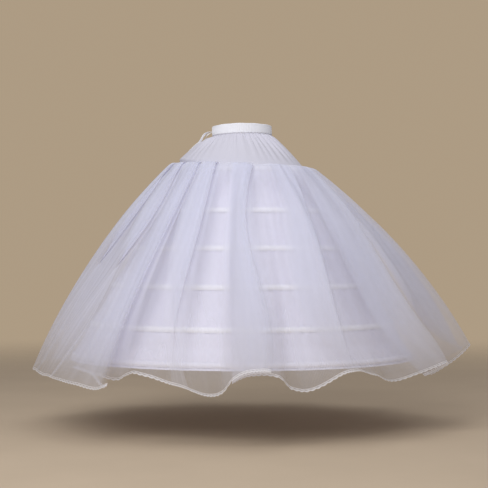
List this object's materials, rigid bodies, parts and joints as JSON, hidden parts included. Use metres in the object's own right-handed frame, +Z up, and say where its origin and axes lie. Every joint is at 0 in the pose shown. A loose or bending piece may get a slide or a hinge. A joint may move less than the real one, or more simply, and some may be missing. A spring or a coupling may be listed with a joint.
{
  "type": "crinoline petticoat",
  "caption": "Hooped petticoat: elastic drawstring waistband, gathered hip yoke, underskirt held out by sewn-in hoops, and a pleated net overskirt with a narrow lace hem.",
  "frame": {"origin": "centre of the worn waistband at half its height", "axes": "+Z up along the body, +X to the wearer's left, and the wearer faces -Y"},
  "size_m": [1.5061, 1.4999, 0.9137],
  "materials": {
    "waist_cloth": "matte",
    "elastic_web": "matte",
    "string_tape": "satin",
    "yoke_cloth": "matte",
    "skirt_cloth": "matte",
    "casing_cloth": "matte",
    "hoop_steel": "satin",
    "joiner_steel": "satin",
    "heading_tape": "matte",
    "net": "matte",
    "lace": "matte"
  },
  "bodies": {
    "root": {"waistband_casing": "waist_cloth", "waist_elastic": "elastic_web", "drawstring": "string_tape", "drawstring_tail_1": "string_tape", "drawstring_tail_2": "string_tape", "hip_yoke": "yoke_cloth", "underskirt": "skirt_cloth", "hoop_casing_1": "casing_cloth", "hoop_casing_2": "casing_cloth", "hoop_casing_3": "casing_cloth", "hoop_casing_4": "casing_cloth", "hoop_casing_5": "casing_cloth", "hoop_casing_6": "casing_cloth", "hoop_1": "hoop_steel", "hoop_2": "hoop_steel", "hoop_3": "hoop_steel", "hoop_4": "hoop_steel", "hoop_5": "hoop_steel", "hoop_6": "hoop_steel", "hoop_joiner_1": "joiner_steel", "hoop_joiner_2": "joiner_steel", "hoop_joiner_3": "joiner_steel", "hoop_joiner_4": "joiner_steel", "hoop_joiner_5": "joiner_steel", "hoop_joiner_6": "joiner_steel", "overskirt_heading": "heading_tape", "net_overskirt": "net", "hem_lace": "lace"}
  },
  "joints": []
}
